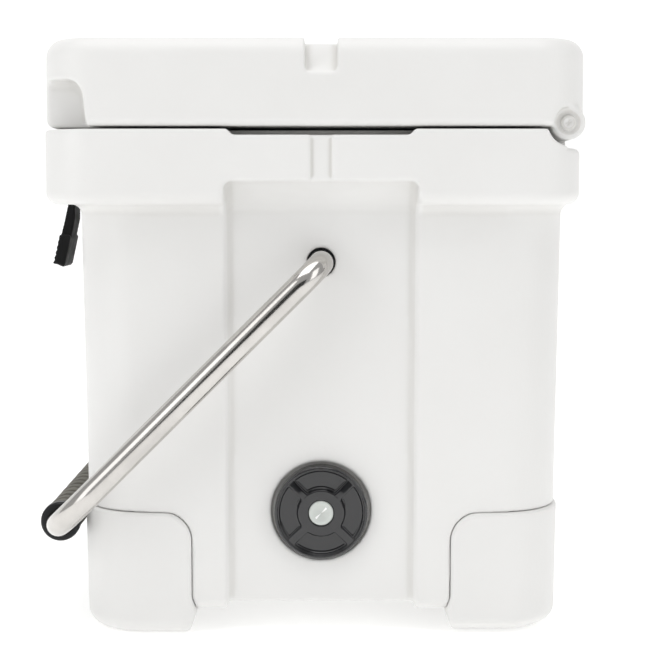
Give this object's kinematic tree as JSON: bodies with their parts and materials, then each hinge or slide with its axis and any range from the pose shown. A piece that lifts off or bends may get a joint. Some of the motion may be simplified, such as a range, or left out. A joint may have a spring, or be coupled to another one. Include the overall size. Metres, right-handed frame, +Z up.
{
  "type": "ice chest",
  "caption": "Hard-sided insulated ice chest with a hinged lid, rubber latches, a swinging bail handle with a foam grip, corner feet and a screw-down drain.",
  "frame": {"origin": "centre of the whole outline in plan, on the floor under the feet", "axes": "+X towards the end with the drain, -Y the side with the latches, +Y the hinge side, +Z up"},
  "size_m": [0.512, 0.3633, 0.398],
  "materials": {
    "shell_plastic": "satin",
    "insulating_foam": "matte",
    "steel": "satin",
    "polished_steel": "polished",
    "grip_foam": "matte",
    "black_plastic": "satin",
    "latch_rubber": "matte",
    "seal_rubber": "matte",
    "drain_plastic": "gloss",
    "grey_plastic": "satin"
  },
  "bodies": {
    "body": {"body_shell": "shell_plastic", "body_foam_core": "insulating_foam", "body_fill_plug": "shell_plastic", "foot_front_left": "shell_plastic", "foot_front_right": "shell_plastic", "foot_back_left": "shell_plastic", "foot_back_right": "shell_plastic", "foot_screw_front_left": "steel", "foot_screw_front_right": "steel", "foot_screw_back_left": "steel", "foot_screw_back_right": "steel", "hinge_rod": "steel", "handle_bushing_left": "black_plastic", "handle_bushing_right": "black_plastic", "drain_bushing": "drain_plastic", "drain_washer": "seal_rubber", "drain_inner_nut": "drain_plastic"},
    "lid": {"lid_shell": "shell_plastic", "lid_foam_core": "insulating_foam", "lid_fill_plug": "shell_plastic", "lid_gasket": "seal_rubber", "latch_pin_left": "steel", "latch_pin_right": "steel", "hinge_cap_left": "shell_plastic", "hinge_cap_right": "shell_plastic"},
    "latch_left": {"latch_strap_left": "latch_rubber"},
    "latch_right": {"latch_strap_right": "latch_rubber"},
    "handle": {"handle_tube": "polished_steel", "handle_grip": "grip_foam", "grip_cap_left": "black_plastic", "grip_cap_right": "black_plastic"},
    "drain_plug": {"plug_core": "grey_plastic", "plug_o_ring": "seal_rubber"},
    "drain_knob": {"plug_knob": "drain_plastic"}
  },
  "joints": [
    {"name": "lid_hinge", "type": "hinge", "parent": "body", "child": "lid", "pos_m": [0, 0.1689, 0.3428], "axis": [-1, 0, 0], "range_deg": [0, 100]},
    {"name": "latch_left_turn", "type": "hinge", "parent": "lid", "child": "latch_left", "pos_m": [-0.13994, -0.1637, 0.3605], "axis": [-1, 0, 0], "range_deg": [0, 110]},
    {"name": "latch_right_turn", "type": "hinge", "parent": "lid", "child": "latch_right", "pos_m": [0.13994, -0.1637, 0.3605], "axis": [-1, 0, 0], "range_deg": [0, 110]},
    {"name": "handle_swing", "type": "hinge", "parent": "body", "child": "handle", "pos_m": [0, 0.0083, 0.2517], "axis": [-1, 0, 0], "range_deg": [0, 268]},
    {"name": "drain_plug_travel", "type": "slide", "parent": "body", "child": "drain_plug", "axis": [1, 0, 0], "range_m": [0, 0.012]},
    {"name": "drain_knob_turn", "type": "hinge", "parent": "drain_plug", "child": "drain_knob", "pos_m": [0, 0.0083, 0.0841], "axis": [1, 0, 0], "range_deg": [0, 1080]}
  ],
  "couplings": [
    {"joint": "drain_plug_travel", "follows": "drain_knob_turn", "m_per_rad": 0.000636}
  ]
}
